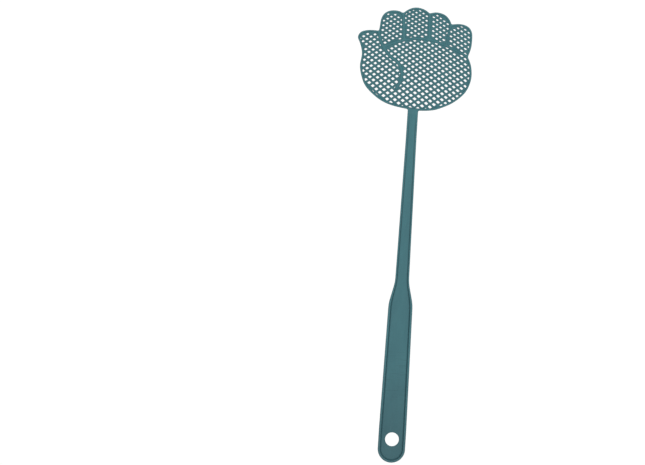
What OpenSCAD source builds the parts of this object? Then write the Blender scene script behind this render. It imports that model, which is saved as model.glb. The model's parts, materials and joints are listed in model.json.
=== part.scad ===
// Hand-shaped fly swatter, moulded in one piece of polypropylene: a rimmed grip with a hang hole,
// a slim stem that tapers and bends, and an open mesh head in the outline of a hand.
// X runs across the swatter, Y from front to back, Z up along the stem.
// The origin is the centre of the hang hole, halfway through the web.

/* [Grip] */
// Distance from the hang hole's centre to the bottom end
hole_to_end = 23; // [20:0.5:28]
// Radius of the hang hole
hang_hole_r = 6.8; // [4:0.1:7.5]
// Width of the grip at its round end
grip_w = 27; // [24:0.5:32]
// Width of the grip where the shoulder starts
grip_top_w = 23.8; // [20:0.2:26]
// Height of the shoulder's foot above the hang hole
grip_h = 134; // [110:1:150]
// Width of the raised rim round the grip
grip_rim_w = 2.4; // [1.8:0.1:3]
// Depth of the grip's rim, front to back
grip_rim_t = 5; // [4:0.1:6]
// Thickness of the web between the rims
web_t = 2.2; // [1.6:0.1:2.4]

/* [Stem] */
// Height of the shoulder, where the grip narrows to the stem
shoulder_h = 21; // [16:1:30]
// Length of the stem from the shoulder to the head
stem_l = 170.3; // [150:0.1:200]
// Width of the stem at the shoulder
stem_foot_w = 13.7; // [12:0.1:15]
// Width of the stem at the neck
neck_w = 10.3; // [9:0.1:11]
// Width of the ribs along the stem's edges
stem_rib_w = 1.5; // [1.2:0.1:2]
// Depth of the ribs at the shoulder
stem_rib_t = 4.2; // [3.6:0.1:4.6]
// Depth of the plain neck and of the head's rim
neck_t = 2.6; // [2.4:0.1:3]

/* [Head] */
// Width of the head
head_w = 114.5; // [105:0.5:125]
// Height of the head
head_h = 101.5; // [95:0.5:110]
// Width of the rim round the hand
rim_w = 1.9; // [1.6:0.1:2.4]
// Width of the solid creases between the fingers and across the palm
crease_w = 2.8; // [2.4:0.1:3.4]
// Width of the crease beside the little finger, to which the knuckle crease narrows
slim_crease_w = 1.9; // [1.6:0.1:2.4]
// Depth of the creases
crease_t = 2.2; // [1.8:0.1:2.4]
// Thickness of the mesh
mesh_t = 1.7; // [1.2:0.1:2]
// Width of the mesh's ribs
mesh_rib_w = 2.2; // [1.6:0.05:2.4]

/* [Hidden] */
teal = [0.235, 0.445, 0.475];
left = -1;
right = 1;

// Heights along the stem.
end_centre_z = grip_w / 2 - hole_to_end;
shoulder_top_z = grip_h + shoulder_h;
head_z = shoulder_top_z + stem_l;
neck_z = head_z - 20;
rib_end_z = neck_z - 9;
// The three places where the strip bends, each a hinge line across the middle of its thickness.
root_flex_z = shoulder_top_z + 20;
stem_flex_z = (root_flex_z + neck_z) / 2;
// Clearance in each hinge, and how far the shoulder's corners are softened.
hinge_gap = 0.3;
corner_reach = 4;
// Size of the blocks that cut away everything on one side of a plane.
big = 400;

// The edge of grip, shoulder and stem: half width by height, with softened corners.
edge_table = [
    [end_centre_z, grip_w / 2],
    [grip_h, grip_top_w / 2],
    [shoulder_top_z, stem_foot_w / 2],
    [neck_z, neck_w / 2]
];
function half_w(z) =
    let (s = [for (d = [-corner_reach : 2 : corner_reach]) lookup(max(z + d, end_centre_z), edge_table)])
    (s * [for (i = s) 1]) / len(s);
// Width of the rib or rim along that edge, and half its depth.
function edge_rib_w(z) = lookup(z, [[grip_h, grip_rim_w], [shoulder_top_z, stem_rib_w]]);
function rib_half_t(z) = lookup(z, [
    [grip_h, grip_rim_t / 2],
    [shoulder_top_z, stem_rib_t / 2],
    [rib_end_z, neck_t / 2]
]);
// Half thickness of the web, which thickens into the plain neck.
function web_half_t(z) = lookup(z, [[rib_end_z - 40, web_t / 2], [rib_end_z, neck_t / 2]]);

// Heights at which an edge is drawn between z0 and z1: close together round the shoulder only.
edge_step = 3;
function edge_heights(z0, z1) = concat(
    [z0],
    [for (z = [grip_h - 2 * edge_step : edge_step : shoulder_top_z + 2 * edge_step])
        if (z > z0 && z < z1) z],
    [z1]
);
function reversed(list) = [for (i = [len(list) - 1 : -1 : 0]) list[i]];

// A front view, drawn with x across and y up, given its thickness from front to back.
module slab(t) {
    rotate([90, 0, 0]) linear_extrude(t, center = true) children();
}

// A side view of half depth half_t(z) at each listed height, carried right across the width.
module side_block(heights, half_ts) {
    front = [for (i = [0 : len(heights) - 1]) [-half_ts[i], heights[i]]];
    back = [for (i = [0 : len(heights) - 1]) [half_ts[i], heights[i]]];
    rotate([90, 0, 90]) linear_extrude(big, center = true) polygon(concat(front, reversed(back)));
}
side_heights = [end_centre_z - grip_w, grip_h, shoulder_top_z, rib_end_z - 40, rib_end_z, head_z + 10];
module rib_depth() side_block(side_heights, [for (z = side_heights) rib_half_t(z)]);
module web_depth() side_block(side_heights, [for (z = side_heights) web_half_t(z)]);

// Front views of the web and of one edge rib between two heights.
module web_front(z0, z1) {
    heights = edge_heights(z0, z1);
    inner = [for (z = heights) half_w(z) - edge_rib_w(z)];
    polygon(concat(
        [for (i = [0 : len(heights) - 1]) [-inner[i], heights[i]]],
        [for (i = [len(heights) - 1 : -1 : 0]) [inner[i], heights[i]]]
    ));
}
module rib_front(side, z0, z1) {
    heights = edge_heights(z0, z1);
    polygon(concat(
        [for (z = heights) [side * half_w(z), z]],
        [for (z = reversed(heights)) [side * (half_w(z) - edge_rib_w(z)), z]]
    ));
}

// Everything below a hinge line, with a round tongue on the line, and everything above it, with
// the round seat that clears the tongue.
module barrel(z, gap) {
    translate([0, 0, z]) rotate([0, 90, 0])
        cylinder(r = rib_half_t(z) + gap, h = big, center = true, $fn = 64);
}
module under(z) {
    intersection() {
        children();
        union() {
            translate([-big / 2, -big / 2, z - big]) cube(big);
            barrel(z, 0);
        }
    }
}
module over(z) {
    difference() {
        children();
        translate([-big / 2, -big / 2, z - big]) cube(big);
        barrel(z, hinge_gap);
    }
}
// A stretch of web or rib is drawn a little past the hinge above it, to make the tongue.
tongue = 5;

module web_stretch(z0, z1) {
    intersection() {
        slab(2 * grip_rim_t) web_front(z0, z1);
        web_depth();
    }
}
module rib_stretch(side, z0, z1) {
    intersection() {
        slab(2 * grip_rim_t) rib_front(side, z0, z1);
        rib_depth();
    }
}

// The grip: a thin web with a raised rim down both sides and round the end.
module grip_end_disc(r, t) {
    difference() {
        translate([0, 0, end_centre_z]) rotate([90, 0, 0]) cylinder(r = r, h = t, center = true, $fn = 96);
        translate([-big / 2, -big / 2, end_centre_z]) cube(big);
    }
}
module grip_web() {
    color(teal) difference() {
        union() {
            slab(web_t) web_front(end_centre_z, grip_h);
            grip_end_disc(grip_w / 2 - grip_rim_w, web_t);
        }
        rotate([90, 0, 0]) cylinder(r = hang_hole_r, h = big, center = true, $fn = 96);
    }
}
module grip_end_rim() {
    color(teal) difference() {
        grip_end_disc(grip_w / 2, grip_rim_t);
        grip_end_disc(grip_w / 2 - grip_rim_w, 2 * grip_rim_t);
    }
}
module grip_side_rim(side) color(teal) slab(grip_rim_t) rib_front(side, end_centre_z, grip_h);

// The shoulder and the two bending lengths of the stem.
module shoulder_web() color(teal) under(root_flex_z) web_stretch(grip_h, root_flex_z + tongue);
module shoulder_rib(side) {
    color(teal) under(root_flex_z) rib_stretch(side, grip_h, root_flex_z + tongue);
}
module lower_stem_web() {
    color(teal) over(root_flex_z) under(stem_flex_z) web_stretch(root_flex_z, stem_flex_z + tongue);
}
module lower_stem_rib(side) {
    color(teal) over(root_flex_z) under(stem_flex_z) rib_stretch(side, root_flex_z, stem_flex_z + tongue);
}
// The upper web fills the whole width once the edge ribs have run out.
module upper_stem_web() {
    color(teal) over(stem_flex_z) under(neck_z) intersection() {
        slab(2 * grip_rim_t) difference() {
            plain_front(stem_flex_z, neck_z + tongue);
            rib_front(left, stem_flex_z, rib_end_z);
            rib_front(right, stem_flex_z, rib_end_z);
        }
        web_depth();
    }
}
module upper_stem_rib(side) color(teal) over(stem_flex_z) rib_stretch(side, stem_flex_z, rib_end_z);

// Front view of the stem at its full width.
module plain_front(z0, z1) {
    polygon([[-half_w(z0), z0], [half_w(z0), z0], [half_w(z1), z1], [-half_w(z1), z1]]);
}
module neck() {
    color(teal) over(neck_z) slab(neck_t) difference() {
        plain_front(neck_z, head_z + tongue);
        head_front();
    }
}

// A smooth curve through a few points: cubic pieces whose slopes follow the neighbouring points.
curve_steps = 6;
function heading(p, i) =
    i == 0 ? 1.5 * (p[1] - p[0]) / norm(p[1] - p[0]) - 0.5 * heading(p, 1) :
    i == len(p) - 1 ? 1.5 * (p[i] - p[i - 1]) / norm(p[i] - p[i - 1]) - 0.5 * heading(p, i - 1) :
    (p[i + 1] - p[i - 1]) / (norm(p[i + 1] - p[i]) + norm(p[i] - p[i - 1]));
function cubic(a, b, slope_a, slope_b, t) =
    (1 + 2 * t) * (1 - t) * (1 - t) * a + t * t * (3 - 2 * t) * b
    + norm(b - a) * t * (1 - t) * ((1 - t) * slope_a - t * slope_b);
function curve(p) = len(p) == 2 ? p : concat(
    [for (i = [0 : len(p) - 2], s = [0 : curve_steps - 1])
        cubic(p[i], p[i + 1], heading(p, i), heading(p, i + 1), s / curve_steps)],
    [p[len(p) - 1]]
);

// The hand is drawn 114.5 wide and 101.5 high from the middle of its foot, then sized and placed.
drawn_w = 114.5;
drawn_h = 101.5;
function placed(p) = [for (q = p) [q.x * head_w / drawn_w, head_z + q.y * head_h / drawn_h]];

// The clefts between the digits, and the waist under the thumb.
thumb_index_cleft = [-38.5, 76.2];
index_middle_cleft = [-15.6, 95.2];
middle_ring_cleft = [10.5, 96.4];
ring_little_cleft = [32.6, 86.9];
little_palm_cleft = [50.7, 55.9];
waist = [-53.8, 52.2];

// Each digit's outer edge, from one cleft to the next, clockwise round the hand from the palm.
thumb_and_palm_edge = curve(placed([
    little_palm_cleft, [54.3, 47.8], [55.6, 37.4], [54, 28.3], [49.4, 19.4], [39.5, 10.3],
    [29.6, 4.9], [19.7, 1.3], [5, 0], [-5, 0.9], [-19.7, 3.3], [-30, 6.7], [-39.5, 12.7],
    [-48.9, 21.8], [-53.3, 32], [-55, 41], waist, [-54.8, 58.6], [-56.8, 64.1], [-58.9, 69],
    [-56.3, 73.9], [-51.3, 75.9], [-44.4, 76.6], thumb_index_cleft
]));
index_edge = curve(placed([
    thumb_index_cleft, [-37.8, 81.3], [-37, 88.2], [-34.5, 93.2], [-30.6, 96.1], [-25.7, 97.3],
    [-20, 97], index_middle_cleft
]));
middle_edge = curve(placed([
    index_middle_cleft, [-10.4, 99.2], [-5, 101.3], [0, 101.3], [5.9, 99.6], middle_ring_cleft
]));
ring_edge = curve(placed([
    middle_ring_cleft, [15.8, 97.8], [20.7, 97.6], [26.2, 95.6], [30.6, 91.3], ring_little_cleft
]));
little_edge = curve(placed([
    ring_little_cleft, [40.5, 87.9], [46, 87.1], [50.6, 84.6], [53.3, 80], [53.9, 74],
    [53.4, 65], little_palm_cleft
]));
function unjoined(p) = [for (i = [0 : len(p) - 2]) p[i]];
module head_front() {
    polygon(concat(
        unjoined(thumb_and_palm_edge), unjoined(index_edge), unjoined(middle_edge),
        unjoined(ring_edge), unjoined(little_edge)
    ));
}
module inside_rim() offset(r = -rim_w, $fn = 32) head_front();

// The creases' middle lines. The knuckle line starts on the thumb line.
knuckle_start = [-33, 60.5];
thumb_line = curve(placed([
    thumb_index_cleft, [-36.5, 68], knuckle_start, [-25.7, 51.9], [-18, 46.5], [-13.6, 38.5],
    [-14, 29.5], [-17.8, 20.5]
]));
knuckle_line = curve(placed([
    knuckle_start, [-23.7, 65.1], [-12, 69], [0, 70.9], [12, 70.6], [25, 67], [38, 61.8],
    little_palm_cleft
]));
index_middle_line = placed([index_middle_cleft, [-12.2, 62]]);
middle_ring_line = placed([middle_ring_cleft, [12, 64]]);
ring_little_line = curve(placed([ring_little_cleft, [30, 76], [28.4, 60]]));

// A crease is a band along its line, from one width to another. The thumb's ends in a half circle
// in the palm.
function sideways(p, i) =
    let (d = p[min(i + 1, len(p) - 1)] - p[max(i - 1, 0)])
    [-d.y, d.x] / norm(d);
module band(line, from_w, to_w) {
    last = len(line) - 1;
    half = [for (i = [0 : last]) (from_w + (to_w - from_w) * i / last) / 2];
    ahead = [for (i = [0 : last]) line[i] + half[i] * sideways(line, i)];
    behind = [for (i = [0 : last]) line[i] - half[i] * sideways(line, i)];
    polygon(concat(ahead, reversed(behind)));
}
module thumb_band() {
    band(thumb_line, crease_w, crease_w);
    translate(thumb_line[len(thumb_line) - 1]) circle(r = crease_w / 2, $fn = 24);
}
module knuckle_band() band(knuckle_line, crease_w, slim_crease_w);
module index_middle_band() band(index_middle_line, crease_w, crease_w);
module middle_ring_band() band(middle_ring_line, crease_w, crease_w);
module ring_little_band() band(ring_little_line, slim_crease_w, slim_crease_w);
// A finger's crease stops on the knuckle crease, and that one on the thumb's.
module finger_crease() {
    color(teal) slab(crease_t) difference() {
        intersection() {
            inside_rim();
            fingers_zone();
            children();
        }
        knuckle_band();
    }
}
module thumb_crease() {
    color(teal) slab(crease_t) intersection() {
        inside_rim();
        thumb_band();
    }
}
module knuckle_crease() {
    color(teal) slab(crease_t) difference() {
        intersection() {
            inside_rim();
            knuckle_band();
        }
        thumb_band();
    }
}

// The zones that share the head out between the palm and the digits.
beyond = 80;
zone_top = head_z + head_h + 20;
thumb_split = [placed([thumb_index_cleft])[0].x - 2.5, zone_top];
module thumb_zone() {
    waist_z = placed([waist])[0].y;
    polygon(concat(
        [thumb_split],
        [for (p = thumb_line) if (p.y > waist_z) p],
        [[-beyond, waist_z], [-beyond, zone_top]]
    ));
}
module fingers_zone() {
    start_z = placed([knuckle_start])[0].y;
    cleft_z = placed([little_palm_cleft])[0].y;
    polygon(concat(
        [thumb_split],
        [for (p = thumb_line) if (p.y > start_z + 0.01) p],
        knuckle_line,
        [[beyond, cleft_z], [beyond, zone_top]]
    ));
}
module palm_and_thumb_zone() {
    difference() {
        translate([-beyond, head_z - tongue]) square([2 * beyond, head_h + tongue]);
        fingers_zone();
    }
}
module palm_zone() {
    difference() {
        palm_and_thumb_zone();
        thumb_zone();
    }
}
// One finger: the stretch of the fingers' zone between two dividing lines.
left_limit = [[-beyond, zone_top], [-beyond, head_z]];
right_limit = [[beyond, zone_top], [beyond, head_z]];
function division(line) = concat([[line[0].x, zone_top]], line);
module finger_zone(from, to) {
    intersection() {
        fingers_zone();
        polygon(concat(from, reversed(to)));
    }
}
module index_zone() finger_zone(left_limit, division(index_middle_line));
module middle_zone() finger_zone(division(index_middle_line), division(middle_ring_line));
module ring_zone() finger_zone(division(middle_ring_line), division(ring_little_line));
module little_zone() finger_zone(division(ring_little_line), right_limit);

// The rim round one zone.
module rim_part() {
    color(teal) slab(neck_t) difference() {
        intersection() {
            head_front();
            children();
        }
        inside_rim();
    }
}

// The mesh's holes stand in columns and rows, every other row half a column over. Rows close up
// towards the fingertips, sag to both sides and tilt; columns draw together towards the tips.
mesh_centre = [0.9, 40];
column_pitch = 7.47;
row_pitch = 5.46;
row_tilt = -0.48;
row_sag = -0.0386;
row_squeeze = -0.0494;
column_draw = -0.049;
columns = 8;
rows_down = 7;
rows_up = 13;
function mesh_spot(k, r) = [
    mesh_centre.x + column_pitch * k + column_draw * k * r,
    head_z + mesh_centre.y + row_tilt * k + row_pitch * r + row_sag * k * k + row_squeeze * r * r
];
// The ribs cross halfway between neighbouring holes, so they cut the sheet into diamond cells, and
// a hole is a cell less half a rib all round. Cells of one kind meet only at their corners.
function mesh_cell(k, r) = [
    mesh_spot(k + 0.5, r), mesh_spot(k, r + 0.5), mesh_spot(k - 0.5, r), mesh_spot(k, r - 0.5)
];
module mesh_cells(shift) {
    cells = [for (k = [-columns : columns], r = [-rows_down : rows_up]) mesh_cell(k + shift, r + shift)];
    polygon([for (c = cells) each c], [for (i = [0 : len(cells) - 1]) [for (j = [0 : 3]) 4 * i + j]]);
}
// Solid edge left round each panel of mesh where its outline cuts through a hole.
mesh_edge = 0.3;
module panel_front() {
    difference() {
        intersection() {
            inside_rim();
            children();
        }
        thumb_band();
        knuckle_band();
        intersection() {
            fingers_zone();
            union() {
                index_middle_band();
                middle_ring_band();
                ring_little_band();
            }
        }
    }
}
module mesh_part() {
    color(teal) slab(mesh_t) difference() {
        panel_front() children();
        for (shift = [0, 0.5])
            offset(delta = -mesh_rib_w / 2) intersection() {
                offset(delta = mesh_rib_w / 2 - mesh_edge) panel_front() children();
                mesh_cells(shift);
            }
    }
}

grip_web();
grip_end_rim();
grip_side_rim(left);  // grip_left_rim
grip_side_rim(right);  // grip_right_rim
shoulder_web();
shoulder_rib(left);  // shoulder_left_rib
shoulder_rib(right);  // shoulder_right_rib
lower_stem_web();
lower_stem_rib(left);  // lower_stem_left_rib
lower_stem_rib(right);  // lower_stem_right_rib
upper_stem_web();
upper_stem_rib(left);  // upper_stem_left_rib
upper_stem_rib(right);  // upper_stem_right_rib
neck();
rim_part() palm_zone();  // palm_rim
rim_part() thumb_zone();  // thumb_rim
rim_part() index_zone();  // index_finger_rim
rim_part() middle_zone();  // middle_finger_rim
rim_part() ring_zone();  // ring_finger_rim
rim_part() little_zone();  // little_finger_rim
mesh_part() palm_and_thumb_zone();  // palm_mesh
mesh_part() index_zone();  // index_finger_mesh
mesh_part() middle_zone();  // middle_finger_mesh
mesh_part() ring_zone();  // ring_finger_mesh
mesh_part() little_zone();  // little_finger_mesh
thumb_crease();
knuckle_crease();
finger_crease() index_middle_band();  // index_middle_crease
finger_crease() middle_ring_band();  // middle_ring_crease
finger_crease() ring_little_band();  // ring_little_crease
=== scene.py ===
import json
import math

import bmesh
import bpy
import numpy as np
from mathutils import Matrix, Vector
from mathutils.geometry import delaunay_2d_cdt


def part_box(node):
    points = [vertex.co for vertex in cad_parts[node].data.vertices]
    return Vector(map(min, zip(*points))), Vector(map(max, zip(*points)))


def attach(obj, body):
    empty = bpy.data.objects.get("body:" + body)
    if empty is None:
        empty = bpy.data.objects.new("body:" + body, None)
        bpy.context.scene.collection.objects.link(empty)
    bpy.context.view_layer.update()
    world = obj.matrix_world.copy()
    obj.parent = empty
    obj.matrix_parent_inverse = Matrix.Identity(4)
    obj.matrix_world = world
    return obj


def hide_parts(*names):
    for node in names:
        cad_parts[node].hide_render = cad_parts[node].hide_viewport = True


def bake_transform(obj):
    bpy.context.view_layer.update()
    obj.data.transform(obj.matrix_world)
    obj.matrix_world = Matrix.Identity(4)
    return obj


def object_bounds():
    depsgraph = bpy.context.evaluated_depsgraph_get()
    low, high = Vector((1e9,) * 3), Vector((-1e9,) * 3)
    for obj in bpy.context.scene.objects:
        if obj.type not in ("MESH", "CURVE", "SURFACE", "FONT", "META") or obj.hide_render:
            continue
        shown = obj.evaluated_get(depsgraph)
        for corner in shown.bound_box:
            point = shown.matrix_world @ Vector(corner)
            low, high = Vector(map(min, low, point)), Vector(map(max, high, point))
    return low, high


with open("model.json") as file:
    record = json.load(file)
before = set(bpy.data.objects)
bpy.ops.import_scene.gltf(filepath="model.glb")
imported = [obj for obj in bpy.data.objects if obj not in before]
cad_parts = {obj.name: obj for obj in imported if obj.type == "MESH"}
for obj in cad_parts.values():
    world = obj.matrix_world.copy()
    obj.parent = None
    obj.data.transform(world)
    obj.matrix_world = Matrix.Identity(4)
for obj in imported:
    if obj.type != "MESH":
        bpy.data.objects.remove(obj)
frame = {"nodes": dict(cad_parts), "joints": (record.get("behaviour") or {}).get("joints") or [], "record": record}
cad_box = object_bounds()
MM = 0.001

# ------------------------------------------------------------------ what the frame says

JOINT_Z = {joint["name"]: joint["pos_m"][2] for joint in frame["joints"]}
MOUNTS = {mount["name"]: mount for mount in frame["record"]["mounts"]}
PLASTIC_COLOR = frame["record"]["materials"][0]["base_color"]

RIMS = ["palm_rim", "thumb_rim", "index_finger_rim", "middle_finger_rim", "ring_finger_rim",
        "little_finger_rim"]
CREASES = ["thumb_crease", "knuckle_crease", "index_middle_crease", "middle_ring_crease",
           "ring_little_crease"]
PANELS = ["palm_mesh", "index_finger_mesh", "middle_finger_mesh", "ring_finger_mesh",
          "little_finger_mesh"]
RIBS = ["grip_right_rim", "shoulder_right_rib", "lower_stem_right_rib", "upper_stem_right_rib"]
WEBS = ["shoulder_web", "upper_stem_web"]

HEAD_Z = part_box("palm_rim")[0][2]
NECK_HALF_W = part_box("neck")[1][0]
RIM_HALF_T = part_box("palm_rim")[1][1]
CREASE_HALF_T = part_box("thumb_crease")[1][1]
MESH_HALF_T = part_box("palm_mesh")[1][1]
GRIP_WEB_HALF_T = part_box("grip_web")[1][1]
# The centre of the half circle that ends the grip.
END_CENTRE_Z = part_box("grip_left_rim")[0][2]
END_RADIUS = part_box("grip_end_rim")[1][0]


# Corners whose heights differ by less than this are on one level.
SAME_LEVEL = 0.05 * MM
# Every rib is wider than this. A level that reads narrower has corners on one edge of it only.
THINNEST_RIB = 1 * MM
# Nearer than this to a hinge, the corners of its round tongue and seat don't show the strip's depth.
HINGE_SPAN = 5 * MM


def node_points(node):
    mesh = frame["nodes"][node].data
    points = np.empty(3 * len(mesh.vertices))
    mesh.vertices.foreach_get("co", points)
    return points.reshape(-1, 3)


def levels(*nodes):
    """The corners of these nodes, level by level from the bottom."""
    points = np.vstack([node_points(node) for node in nodes])
    points = abs(points[np.argsort(points[:, 2])])
    return np.split(points, np.nonzero(np.diff(points[:, 2]) > SAME_LEVEL)[0] + 1)


def half_widths():
    """Heights, and the outer and inner edge of the ribs at each."""
    rows = [(level[0, 2], level[:, 0].max(), level[:, 0].min()) for level in levels(*RIBS)]
    return np.array([row for row in rows if row[1] - row[2] > THINNEST_RIB]).T


def half_depths(nodes):
    """Heights, and the depth in front of the middle plane at each, leaving out the hinges."""
    rows = [(level[0, 2], level[:, 1].max()) for level in levels(*nodes)]
    clear = [row for row in rows if min(abs(row[0] - z) for z in JOINT_Z.values()) > HINGE_SPAN]
    return np.array(clear).T


RIB_Z, OUTER_X, INNER_X = half_widths()
RIB_HALF_T = half_depths(RIBS)
WEB_HALF_T = half_depths(WEBS)


def outer_x(z):
    """Half width of grip, shoulder and stem."""
    return np.interp(z, [*RIB_Z, HEAD_Z], [*OUTER_X, NECK_HALF_W])


def rib_width(z):
    return outer_x(z) - np.interp(z, RIB_Z, INNER_X)


def rib_half_t(z):
    return np.interp(z, *RIB_HALF_T)


def web_half_t(z):
    return np.interp(z, *WEB_HALF_T)


# ------------------------------------------------------------------ outlines in the front view

# Corners of neighbouring nodes closer than this are one corner.
WELD = 0.01 * MM
# A face belongs to the front if its normal reaches at least this far towards -Y.
FACES_FRONT = 0.99


def outlines(*nodes):
    """Outlines of these nodes' fronts taken together, as lists of (x, z).

    The plastic is on the left all the way: outer edges run anticlockwise, holes clockwise.
    """
    corners, faces = [], []
    for node in nodes:
        mesh = frame["nodes"][node].data
        for face in mesh.polygons:
            if face.normal.y < -FACES_FRONT:
                first = len(corners)
                corners += [mesh.vertices[i].co.xz for i in face.vertices]
                faces.append(list(range(first, len(corners))))
    points, _, triangles, _, _, sources = delaunay_2d_cdt(corners, [], faces, 1, WELD)
    ways_on = {}
    for triangle, source in zip(triangles, sources):
        if not source:
            continue
        for a, b in zip(triangle, triangle[1:] + triangle[:1]):
            if a in ways_on.get(b, []):
                ways_on[b].remove(a)
            else:
                ways_on.setdefault(a, []).append(b)
    loops = []
    for start in list(ways_on):
        while ways_on[start]:
            loop = [start, ways_on[start].pop()]
            while loop[-1] != start:
                loop.append(next_corner(points, loop, ways_on[loop[-1]]))
            loops.append(np.array([points[i] for i in loop[:-1]]))
    return loops


def next_corner(points, loop, choices):
    """Take out of choices the way on that keeps closest to the plastic on the left."""
    here = points[loop[-1]]
    back = points[loop[-2]] - here

    def turn(i):
        ahead = points[i] - here
        return math.atan2(back.x * ahead.y - back.y * ahead.x, back.dot(ahead)) % math.tau

    best = max(choices, key=turn)
    choices.remove(best)
    return best


def area(loop):
    x, z = loop[:, 0], loop[:, 1]
    return 0.5 * float(np.sum(x * np.roll(z, -1) - z * np.roll(x, -1)))


def evenly(line, step, closed=True, at_least=8):
    """The same line with its points about step apart."""
    points = np.vstack([line, line[:1]]) if closed else np.asarray(line)
    along = np.concatenate([[0], np.cumsum(np.hypot(*np.diff(points, axis=0).T))])
    count = max(at_least, round(along[-1] / step))
    places = np.linspace(0, along[-1], count + 1)
    if closed:
        places = places[:-1]
    return np.column_stack([np.interp(places, along, points[:, i]) for i in (0, 1)])


def softened(line, reach, closed=True):
    """An evenly spaced line with its corners rounded off over about reach. Open ends stay put."""
    spacing = float(np.mean(np.hypot(*np.diff(line, axis=0).T)))
    half = max(1, math.ceil(3 * reach / spacing))
    if closed:
        padded = np.take(line, range(-half, len(line) + half), axis=0, mode="wrap")
    else:
        before = 2 * line[0] - line[half:0:-1]
        after = 2 * line[-1] - line[-2 : -half - 2 : -1]
        padded = np.vstack([before, line, after])
    weights = np.exp(-0.5 * (np.arange(-half, half + 1) * spacing / reach) ** 2)
    weights /= weights.sum()
    return np.column_stack([np.convolve(padded[:, i], weights, "valid") for i in (0, 1)])


def inward(line, closed=True):
    """Unit directions into the plastic, on the left of the line."""
    if closed:
        ahead = np.roll(line, -1, axis=0) - np.roll(line, 1, axis=0)
    else:
        ahead = np.gradient(line, axis=0)
    ahead /= np.hypot(*ahead.T)[:, None]
    return np.column_stack([-ahead[:, 1], ahead[:, 0]])


# ------------------------------------------------------------------ mouldings, the same front and back


# Points closer than this are one: those of a flat, and those on the middle plane and their mirror images.
TOUCHING = 1e-9


class Moulding:
    """The front half of a moulded piece, from its middle plane forward. It is mirrored at the end."""

    def __init__(self):
        self.points = []
        self.wear_and_painted_light = []
        self.faces = []

    def row(self, line, depth, wear_and_painted_light):
        """Add a line of points this far in front of the middle plane, and return their numbers."""
        first = len(self.points)
        depths = np.broadcast_to(depth, len(line))
        self.points += [(x, -y, z) for (x, z), y in zip(line, depths)]
        self.wear_and_painted_light += list(np.broadcast_to(wear_and_painted_light, len(line)))
        return list(range(first, len(self.points)))

    def strip(self, outer, inner, closed):
        """Faces from one row to the next row, which lies on its left or in front of it."""
        last = len(outer) if closed else len(outer) - 1
        for i in range(last):
            j = (i + 1) % len(outer)
            self.faces.append((outer[i], outer[j], inner[j], inner[i]))

    def edge(self, line, profile, directions=None, closed=True):
        """Sweep a profile of (inset, depth, wear with painted highlight and shade) along a line, and return the
        last row.
        """
        if directions is None:
            directions = inward(line, closed)
        row = None
        for inset, depth, wear_and_painted_light in profile:
            shift = np.broadcast_to(inset, len(line))[:, None]
            new = self.row(line + directions * shift, depth, wear_and_painted_light)
            if row:
                self.strip(row, new, closed)
            row = new
        return row

    def flat(self, outer, holes=()):
        """Fill the flat between an outer row of points and the rows round its holes."""
        loops = [outer, *holes]
        numbers = [i for loop in loops for i in loop]
        corners = [Vector((self.points[i][0], self.points[i][2])) for i in numbers]
        edges = []
        first = 0
        for loop in loops:
            edges += [(first + i, first + (i + 1) % len(loop)) for i in range(len(loop))]
            first += len(loop)
        _, _, triangles, sources, _, _ = delaunay_2d_cdt(corners, edges, [], 0, TOUCHING)
        triangles = [tuple(sources[i][0] for i in triangle) for triangle in triangles]
        owner = {}
        for triangle in triangles:
            for side in zip(triangle, triangle[1:] + triangle[:1]):
                owner[side] = triangle
        # The plastic lies left of every edge. Spread from there without crossing an edge.
        borders = set(edges) | {(b, a) for a, b in edges}
        reached = set()
        waiting = [owner[side] for side in edges]
        while waiting:
            triangle = waiting.pop()
            if triangle in reached:
                continue
            reached.add(triangle)
            self.faces.append(tuple(numbers[i] for i in triangle))
            for a, b in zip(triangle, triangle[1:] + triangle[:1]):
                if (a, b) not in borders:
                    waiting.append(owner[(b, a)])

    def finished(self, name, material):
        """Mirror the front half to the back, close any flat cut, and make the object."""
        count = len(self.points)
        back = [i if abs(p[1]) < TOUCHING else i + count for i, p in enumerate(self.points)]
        points = self.points + [(x, -y, z) for x, y, z in self.points]
        faces = self.faces + [tuple(back[i] for i in reversed(face)) for face in self.faces]
        mesh = bpy.data.meshes.new(name)
        mesh.from_pydata(points, [], faces)
        wear_and_painted_light = mesh.attributes.new("wear_and_painted_light", "FLOAT", "POINT")
        wear_and_painted_light.data.foreach_set("value", self.wear_and_painted_light + self.wear_and_painted_light)
        shape = bmesh.new()
        shape.from_mesh(mesh)
        bmesh.ops.delete(shape, geom=[v for v in shape.verts if not v.link_faces], context="VERTS")
        for face in shape.faces:
            face.smooth = True
        cut = [edge for edge in shape.edges if edge.is_boundary]
        caps = bmesh.ops.holes_fill(shape, edges=cut, sides=0)["faces"]
        for face in caps:
            for edge in face.edges:
                edge.smooth = False
        bmesh.ops.recalc_face_normals(shape, faces=shape.faces)
        shape.to_mesh(mesh)
        shape.free()
        piece = bpy.data.objects.new(name, mesh)
        bpy.context.scene.collection.objects.link(piece)
        mesh.materials.append(material)
        even = piece.modifiers.new("even_shading", "WEIGHTED_NORMAL")
        even.keep_sharp = True
        return piece


def rounded(half_t, radius, steps=5, wear_and_painted_light=1.0, front_wear_and_painted_light=0.0):
    """Profile of a wall from the middle plane to the flat front, with its front edge rounded."""
    profile = [(0.0, 0.0, 0.0)]
    for k in range(steps + 1):
        angle = 0.5 * math.pi * k / steps
        inset = radius * (1 - math.cos(angle))
        depth = half_t - radius + radius * math.sin(angle)
        # The third value peaks on the rounded edge and spreads onto the flat front: above zero rubbed wear with a
        # painted highlight, below zero painted shade.
        profile.append((inset, depth, wear_and_painted_light * math.sin(2 * angle) + front_wear_and_painted_light * math.sin(angle) ** 2))
    return profile


# ------------------------------------------------------------------ the plastic


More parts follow.
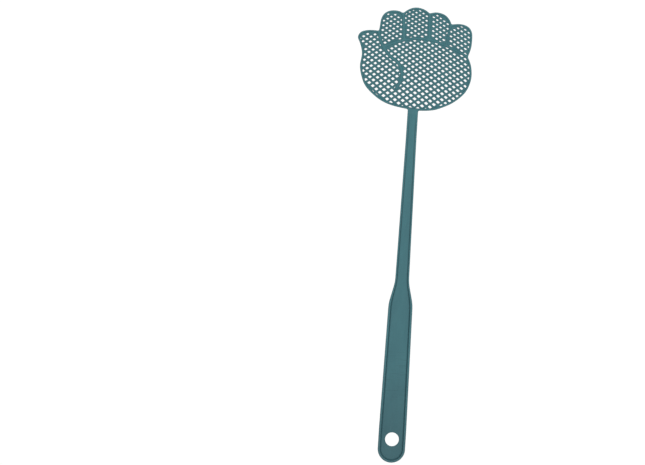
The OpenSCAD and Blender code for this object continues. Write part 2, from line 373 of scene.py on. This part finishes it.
# Heights between which the plastic turns from plain to full painted shade towards the bottom, and from plain to
# full painted light towards the head.
PAINTED_SHADE_Z = (0.08, 0.0)
PAINTED_LIGHT_Z = (0.14, 0.30)
# The flow lines lie round this height. They are gone at the first distance from it and full at the second.
FLOW_LINES_Z = 0.065
FLOW_LINES_FADE = (0.035, 0.015)


def linear(value):
    """A display colour value as the amount of light it stands for."""
    return value / 12.92 if value <= 0.04045 else ((value + 0.055) / 1.055) ** 2.4


def plastic(name):
    material = bpy.data.materials.new(name)
    material.use_nodes = True
    nodes, links = material.node_tree.nodes, material.node_tree.links
    surface = nodes["Principled BSDF"]
    place = nodes.new("ShaderNodeTexCoord")

    def noise(scale, detail, stretch=(1, 1, 1)):
        mapping = nodes.new("ShaderNodeMapping")
        mapping.inputs["Scale"].default_value = stretch
        links.new(place.outputs["Object"], mapping.inputs["Vector"])
        texture = nodes.new("ShaderNodeTexNoise")
        texture.inputs["Scale"].default_value = scale
        texture.inputs["Detail"].default_value = detail
        links.new(mapping.outputs["Vector"], texture.inputs["Vector"])
        return texture.outputs["Fac"]

    def ranged(value, low, high, out_low, out_high):
        node = nodes.new("ShaderNodeMapRange")
        node.inputs["From Min"].default_value = low
        node.inputs["From Max"].default_value = high
        node.inputs["To Min"].default_value = out_low
        node.inputs["To Max"].default_value = out_high
        links.new(value, node.inputs["Value"])
        return node.outputs["Result"]

    def math_node(operation, first, second=None):
        node = nodes.new("ShaderNodeMath")
        node.operation = operation
        for value, socket in ((first, node.inputs[0]), (second, node.inputs[1])):
            if isinstance(value, bpy.types.NodeSocket):
                links.new(value, socket)
            elif value is not None:
                socket.default_value = value
        return node.outputs["Value"]

    def mixed(factor, first, second, blend_type="MIX"):
        node = nodes.new("ShaderNodeMix")
        node.data_type = "RGBA"
        node.blend_type = blend_type
        for value, socket in ((factor, node.inputs[0]), (first, node.inputs[6]), (second, node.inputs[7])):
            if isinstance(value, bpy.types.NodeSocket):
                links.new(value, socket)
            else:
                socket.default_value = value
        return node.outputs[2]

    def bumped(height, strength, distance, under=None):
        node = nodes.new("ShaderNodeBump")
        node.inputs["Strength"].default_value = strength
        node.inputs["Distance"].default_value = distance
        links.new(height, node.inputs["Height"])
        if under:
            links.new(under, node.inputs["Normal"])
        return node.outputs["Normal"]

    red, green, blue = (linear(c) for c in PLASTIC_COLOR)
    base = (red, green, blue, 1)
    deep = (red * 0.86, green * 0.88, blue * 0.90, 1)
    # A paler tint, for speckle and for rubbed edges with a painted highlight.
    pale_and_highlight = (red * 2.0 + 0.02, green * 1.4 + 0.01, blue * 1.35 + 0.01, 1)
    # Painted shade, for grooves, window walls and the mesh.
    painted_shade_color = (red * 0.34, green * 0.46, blue * 0.50, 1)

    # Pigment that isn't quite evenly mixed, in clouds drawn out along the flow.
    clouds = noise(90, 3, (1, 1, 0.35))
    color = mixed(ranged(clouds, 0.35, 0.65, 0, 1), deep, base)
    # Painted shade darkens the grip towards the bottom and painted light brightens the stem towards the head, as
    # light falls from above.
    heights = nodes.new("ShaderNodeSeparateXYZ")
    links.new(place.outputs["Object"], heights.inputs["Vector"])
    painted_shade_low = ranged(heights.outputs["Z"], *PAINTED_SHADE_Z, 0, 1)
    color = mixed(painted_shade_low, color, (0.90, 0.80, 0.81, 1), "MULTIPLY")
    painted_light_high = ranged(heights.outputs["Z"], *PAINTED_LIGHT_Z, 0, 1)
    color = mixed(painted_light_high, color, (0.94, 1.06, 1.05, 1), "MULTIPLY")
    # Faint flow lines lie across the middle of the grip.
    from_middle = math_node("ABSOLUTE", math_node("SUBTRACT", heights.outputs["Z"], FLOW_LINES_Z))
    on_grip = ranged(from_middle, *FLOW_LINES_FADE, 0, 1)
    lines = ranged(noise(900, 1, (0.06, 1, 1)), 0.58, 0.66, 0, 1)
    color = mixed(math_node("MULTIPLY", lines, on_grip), color, (0.80, 0.84, 0.84, 1), "MULTIPLY")
    speckle = noise(2600, 2)
    color = mixed(ranged(speckle, 0.56, 0.74, 0, 0.16), color, pale_and_highlight)
    # Edges are rubbed a little paler in patches and carry a painted highlight, and grooves, window walls and mesh
    # carry painted shade.
    wear_and_painted_light_node = nodes.new("ShaderNodeAttribute")
    wear_and_painted_light_node.attribute_name = "wear_and_painted_light"
    patches = ranged(noise(420, 3), 0.38, 0.66, 0.25, 0.8)
    wear_and_highlight_amount = math_node("MULTIPLY", ranged(wear_and_painted_light_node.outputs["Fac"], 0, 1, 0, 0.6), patches)
    color = mixed(wear_and_highlight_amount, color, pale_and_highlight)
    color = mixed(ranged(wear_and_painted_light_node.outputs["Fac"], 0, -1, 0, 0.85), color, painted_shade_color)
    links.new(color, surface.inputs["Base Color"])

    scuffs = noise(700, 4, (1, 1, 0.05))
    links.new(ranged(scuffs, 0.3, 0.7, 0.40, 0.56), surface.inputs["Roughness"])
    surface.inputs["IOR"].default_value = 1.49
    surface.inputs["Specular IOR Level"].default_value = 0.42

    flow = bumped(noise(160, 2, (1, 1, 0.4)), 0.25, 0.25 * MM)
    scratched = bumped(ranged(scuffs, 0.55, 0.75, 0, 1), 0.12, 0.05 * MM, flow)
    grain = bumped(noise(3800, 2), 0.22, 0.05 * MM, scratched)
    links.new(grain, surface.inputs["Normal"])
    return material


teal = plastic("teal_moulded_plastic")

# ------------------------------------------------------------------ grip and stem

# Where one skin gives way to the next: midway between two bending lengths.
GRIP_CUT = 0.5 * (JOINT_Z["root_flex"] + JOINT_Z["stem_flex"])
STEM_CUT = 0.5 * (JOINT_Z["stem_flex"] + JOINT_Z["neck_flex"])
# The last skin gives way to the hand's frame a little below the hand.
NECK_CUT = HEAD_Z - 3.8 * MM
EDGE_RADIUS = 0.75 * MM
HANG_HOLE_EDGE_RADIUS = 0.4 * MM
# How much the tops of rims and ribs are rubbed and lit by a painted highlight, where a fresh edge is 1.
RIM_WEAR_AND_HIGHLIGHT = 0.45
LEVEL_STEP = 1.2 * MM
# A rib that stands out this far from the web has its full lean, softness and groove.
FULL_RELIEF = 1.4 * MM
RIB_LEAN = 0.25 * MM
RIB_SOFTNESS = 0.4 * MM
# The groove at the foot of each rib. It runs out just before the hand.
GROOVE_DEPTH = 0.32 * MM
GROOVE_FADE = 12 * MM
# Across the groove: distance from the foot, share of the groove's depth, and wear value, painted shade where
# negative.
GROOVE = ((0.2 * MM, 0.7, -1.0), (0.55 * MM, 1.0, -1.0), (0.85 * MM, 0.5, -0.4), (1.2 * MM, 0.0, 0.0))


def skin_profile(z):
    """Across one edge at these heights: rounded outer corner, flat rib, inner wall, groove, web."""
    half_t, web_t = rib_half_t(z), web_half_t(z)
    relief = np.clip((half_t - web_t) / FULL_RELIEF, 0, 1)
    foot = rib_width(z)
    lean = RIB_LEAN * relief
    soft = RIB_SOFTNESS * np.maximum(relief, 0.2)
    # The rounded outer edge and the rib's top are rubbed paler and carry a painted highlight.
    profile = rounded(half_t, EDGE_RADIUS, front_wear_and_painted_light=RIM_WEAR_AND_HIGHLIGHT)
    top = foot - lean - soft
    fade = np.clip((NECK_CUT - z) / GROOVE_FADE, 0, 1)
    groove = GROOVE_DEPTH * fade * (0.35 + 0.65 * relief)
    profile.append((top, half_t, RIM_WEAR_AND_HIGHLIGHT))
    profile.append((top + 0.6 * soft, half_t - 0.2 * soft, 0.6))
    profile.append((top + soft, half_t - soft, 0.0))
    # The foot of the inner wall and the groove are darkened by painted shade.
    profile.append((foot, web_t + 0.25 * (half_t - web_t) - 0.3 * groove, -0.8 * fade))
    for out, share, wear_and_painted_light in GROOVE:
        profile.append((foot + out, web_t - share * groove, wear_and_painted_light * fade))
    return profile


def side_line(side, z_from, z_to):
    """One long edge of grip or stem, level by level."""
    count = max(2, round(abs(z_to - z_from) / LEVEL_STEP))
    z = np.linspace(z_from, z_to, count + 1)
    return np.column_stack([side * outer_x(z), z])


def long_skin(name, z_low, z_high):
    """A stretch of stem with a flat cut at both ends."""
    shape = Moulding()
    rails = []
    for side, line in ((-1, side_line(-1, z_high, z_low)), (1, side_line(1, z_low, z_high))):
        directions = np.tile((-side, 0.0), (len(line), 1))
        rails += shape.edge(line, skin_profile(line[:, 1]), directions, closed=False)
    shape.flat(rails)
    return shape.finished(name, teal)


def grip_skin(name):
    """The grip with its round end and hang hole, the shoulder, and the foot of the stem."""
    shape = Moulding()
    down = side_line(-1, GRIP_CUT, END_CENTRE_Z)
    up = side_line(1, END_CENTRE_Z, GRIP_CUT)
    angles = np.linspace(math.pi, math.tau, 61)[1:-1]
    round_end = np.column_stack([np.cos(angles), np.sin(angles)])
    line = np.vstack([down, round_end * END_RADIUS + (0, END_CENTRE_Z), up])
    directions = np.vstack([np.tile((1.0, 0.0), (len(down), 1)), -round_end,
                            np.tile((-1.0, 0.0), (len(up), 1))])
    heights = np.maximum(line[:, 1], END_CENTRE_Z)
    rail = shape.edge(line, skin_profile(heights), directions, closed=False)
    hole = MOUNTS["hang_hole"]
    turns = np.linspace(0, -math.tau, 72, endpoint=False)
    rim = np.column_stack([np.cos(turns), np.sin(turns)]) * hole["dims"]["r_mm"] * MM
    rim += (hole["pos_m"][0], hole["pos_m"][2])
    # The hang hole's rounded edge is rubbed paler and carries a painted highlight.
    shape.flat(rail, [shape.edge(rim, rounded(GRIP_WEB_HALF_T, HANG_HOLE_EDGE_RADIUS, steps=4))])
    return shape.finished(name, teal)


grip = grip_skin("grip_skin")
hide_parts("grip_web", "grip_end_rim", "grip_left_rim", "grip_right_rim", "shoulder_web",
            "shoulder_left_rib", "shoulder_right_rib")
stem = long_skin("stem_skin", GRIP_CUT, STEM_CUT)
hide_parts("lower_stem_web", "lower_stem_left_rib", "lower_stem_right_rib")
neck = long_skin("neck_skin", STEM_CUT, NECK_CUT)
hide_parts("upper_stem_web", "upper_stem_left_rib", "upper_stem_right_rib")

# Bake each skin's placement into its points.
for piece, lower, upper, joint in ((grip, "grip", "lower_stem", "root_flex"),
                                   (stem, "lower_stem", "upper_stem", "stem_flex"),
                                   (neck, "upper_stem", "head", "neck_flex")):
    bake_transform(piece)

# ------------------------------------------------------------------ the hand

OUTLINE_STEP = 0.45 * MM
HOLE_STEP = 0.5 * MM
# How far corners are rounded off in the front view.
HAND_SOFTNESS = 0.9 * MM
PANEL_SOFTNESS = 0.45 * MM
# The rounding of the front edges.
WINDOW_RADIUS = 0.45 * MM
MESH_RADIUS = 0.42 * MM
# Up to this distance from the hand's edge a window's edge is as deep as the rim. It then runs down to
# the depth of a crease over the second distance.
RIM_REACH = 2.6 * MM
RUN_DOWN = 5 * MM
# Each panel reaches this far into the frame.
PANEL_OVERLAP = 0.6 * MM
# Where the rim cuts off nearly a whole hole, what is left is closed if it is smaller than this.
SMALLEST_HOLE = 0.6 * MM * MM

panel_loops = {node: outlines(node) for node in PANELS}
panel_edges = {node: softened(evenly(max(loops, key=area), OUTLINE_STEP), PANEL_SOFTNESS)
               for node, loops in panel_loops.items()}


def hand_outline():
    """The edge of the whole hand, from the right side of the neck's cut round to the left."""
    loop = max(outlines(*RIMS, *CREASES, *PANELS, "neck"), key=area)
    below = loop[:, 1] < NECK_CUT
    first = next(i for i in range(len(loop)) if below[i - 1] and not below[i])
    line = np.roll(loop, -first, axis=0)
    line = line[line[:, 1] >= NECK_CUT]
    return np.vstack([(NECK_HALF_W, NECK_CUT), line, (-NECK_HALF_W, NECK_CUT)])


def hand_frame(name):
    """The rim round the hand and the creases across it, as one network with five windows."""
    shape = Moulding()
    edge = softened(evenly(hand_outline(), OUTLINE_STEP, closed=False), HAND_SOFTNESS, closed=False)
    directions = inward(edge, closed=False)
    directions[0], directions[-1] = (-1, 0), (1, 0)
    # The rim's rounded edge and top are rubbed paler and carry a painted highlight.
    rim = shape.edge(edge, rounded(RIM_HALF_T, EDGE_RADIUS, front_wear_and_painted_light=RIM_WEAR_AND_HIGHLIGHT), directions, closed=False)
    windows = []
    for loop in panel_edges.values():
        window = loop[::-1]
        away = np.min(np.hypot(window[:, 0:1] - edge[:, 0], window[:, 1:2] - edge[:, 1]), axis=1)
        far = np.clip((away - RIM_REACH) / RUN_DOWN, 0, 1)
        half_t = RIM_HALF_T + (CREASE_HALF_T - RIM_HALF_T) * far * far * (3 - 2 * far)
        # The windows' walls are darkened by painted shade.
        windows.append(shape.edge(window, rounded(half_t, WINDOW_RADIUS, steps=4, wear_and_painted_light=-0.7)))
    shape.flat(rim, windows)
    return shape.finished(name, teal)


def mesh_panel(name, node):
    """One panel of the mesh, which reaches a little way into the frame round it."""
    shape = Moulding()
    outer = panel_edges[node]
    rim = shape.edge(outer - PANEL_OVERLAP * inward(outer), [(0.0, 0.0, 0.0), (0.0, MESH_HALF_T, 0.0)])
    holes = []
    for loop in panel_loops[node]:
        if -area(loop) < SMALLEST_HOLE:
            continue
        round_off = min(0.30 * MM, 0.10 * math.sqrt(-area(loop)))
        hole = softened(evenly(loop, HOLE_STEP, at_least=12), round_off)
        # The mesh's hole edges and front are darkened a little by painted shade.
        profile = rounded(MESH_HALF_T, MESH_RADIUS, steps=4, wear_and_painted_light=-0.4, front_wear_and_painted_light=-0.25)
        holes.append(shape.edge(hole, profile))
    shape.flat(rim, holes)
    return shape.finished(name, teal)


hand = hand_frame("hand_frame")
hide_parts(*RIMS, *CREASES, "neck")
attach(hand, "head")
for node in PANELS:
    panel = mesh_panel(node.replace("_mesh", "_panel"), node)
    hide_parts(node)
    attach(panel, "head")

# ------------------------------------------------------------------ stage, light and camera

low, high = cad_box
# The swatter is held up in the air over the floor.
FLOOR_Z = low[2] - 0.35
FLOOR_RADIUS = 0.9
FLOOR_SIDES = 96
# The floor's edge, ring by ring from the top: distance in from the full radius, and height over the top.
FLOOR_EDGE = ((0.04, 0.0), (0.0, -0.02), (0.0, -0.1))


def studio_floor():
    """A round pale floor with a bevelled rim, closed underneath."""
    shape = bmesh.new()
    rings = []
    turns = [math.tau * i / FLOOR_SIDES for i in range(FLOOR_SIDES)]
    for inset, z in FLOOR_EDGE:
        radius = FLOOR_RADIUS - inset
        rings.append([shape.verts.new((radius * math.cos(a), radius * math.sin(a), FLOOR_Z + z))
                      for a in turns])
    shape.faces.new(rings[0])
    for upper, lower in zip(rings, rings[1:]):
        for i in range(FLOOR_SIDES):
            j = (i + 1) % FLOOR_SIDES
            shape.faces.new((upper[j], upper[i], lower[i], lower[j]))
    shape.faces.new(rings[-1][::-1])
    mesh = bpy.data.meshes.new("studio_floor")
    shape.to_mesh(mesh)
    shape.free()
    floor = bpy.data.objects.new("studio_floor", mesh)
    bpy.context.scene.collection.objects.link(floor)
    paper = bpy.data.materials.new("studio_paper")
    paper.use_nodes = True
    surface = paper.node_tree.nodes["Principled BSDF"]
    surface.inputs["Base Color"].default_value = (0.82, 0.82, 0.82, 1)
    surface.inputs["Roughness"].default_value = 0.9
    mesh.materials.append(paper)


def soft_room():
    """Light from all round: white in front and behind, darker at the sides and overhead."""
    world = bpy.data.worlds.new("soft_room")
    world.use_nodes = True
    nodes, links = world.node_tree.nodes, world.node_tree.links
    place = nodes.new("ShaderNodeTexCoord")
    split = nodes.new("ShaderNodeSeparateXYZ")
    links.new(place.outputs["Generated"], split.inputs["Vector"])
    facing = nodes.new("ShaderNodeMath")
    facing.operation = "ABSOLUTE"
    links.new(split.outputs["Y"], facing.inputs[0])
    brightness = nodes.new("ShaderNodeMapRange")
    brightness.interpolation_type = "SMOOTHSTEP"
    brightness.inputs["From Min"].default_value = 0.35
    brightness.inputs["From Max"].default_value = 0.93
    brightness.inputs["To Min"].default_value = 0.22
    brightness.inputs["To Max"].default_value = 1.03
    links.new(facing.outputs["Value"], brightness.inputs["Value"])
    nodes["Background"].inputs["Color"].default_value = (1.0, 1.0, 1.0, 1)
    links.new(brightness.outputs["Result"], nodes["Background"].inputs["Strength"])
    bpy.context.scene.world = world


def soft_light(name, place, aim, width, watts):
    data = bpy.data.lights.new(name, "AREA")
    data.shape = "SQUARE"
    data.size = width
    data.energy = watts
    light = bpy.data.objects.new(name, data)
    light.location = place
    light.visible_camera = False
    light.rotation_euler = (Vector(aim) - Vector(place)).to_track_quat("-Z", "Y").to_euler()
    bpy.context.scene.collection.objects.link(light)


studio_floor()
soft_room()
middle = (0.5 * (low[0] + high[0]), 0.0, 0.5 * (low[2] + high[2]))
soft_light("key", (-0.7, -1.7, 1.7), middle, 1.2, 11)
soft_light("fill", (1.3, -1.6, 0.7), middle, 1.4, 7)
soft_light("back_light", (0.8, 1.8, 1.5), middle, 1.2, 8)
bpy.context.scene.view_settings.view_transform = "Standard"

# The view runs straight along +Y with a long lens, and the swatter leans a little to the right.
CAMERA_DISTANCE = 3.0
VIEW_WIDTH = 0.6366
VIEW_CENTRE = (-0.0814, 0.1993)
LEAN = math.atan(0.0638)
SENSOR_WIDTH = 36
camera_data = bpy.data.cameras.new("camera")
camera_data.sensor_width = SENSOR_WIDTH
camera_data.lens = SENSOR_WIDTH * CAMERA_DISTANCE / VIEW_WIDTH
camera_data.clip_end = 20
camera = bpy.data.objects.new("camera", camera_data)
camera.location = (VIEW_CENTRE[0], -CAMERA_DISTANCE, VIEW_CENTRE[1])
camera.rotation_euler = (0.5 * math.pi, -LEAN, 0)
bpy.context.scene.collection.objects.link(camera)
bpy.context.scene.camera = camera
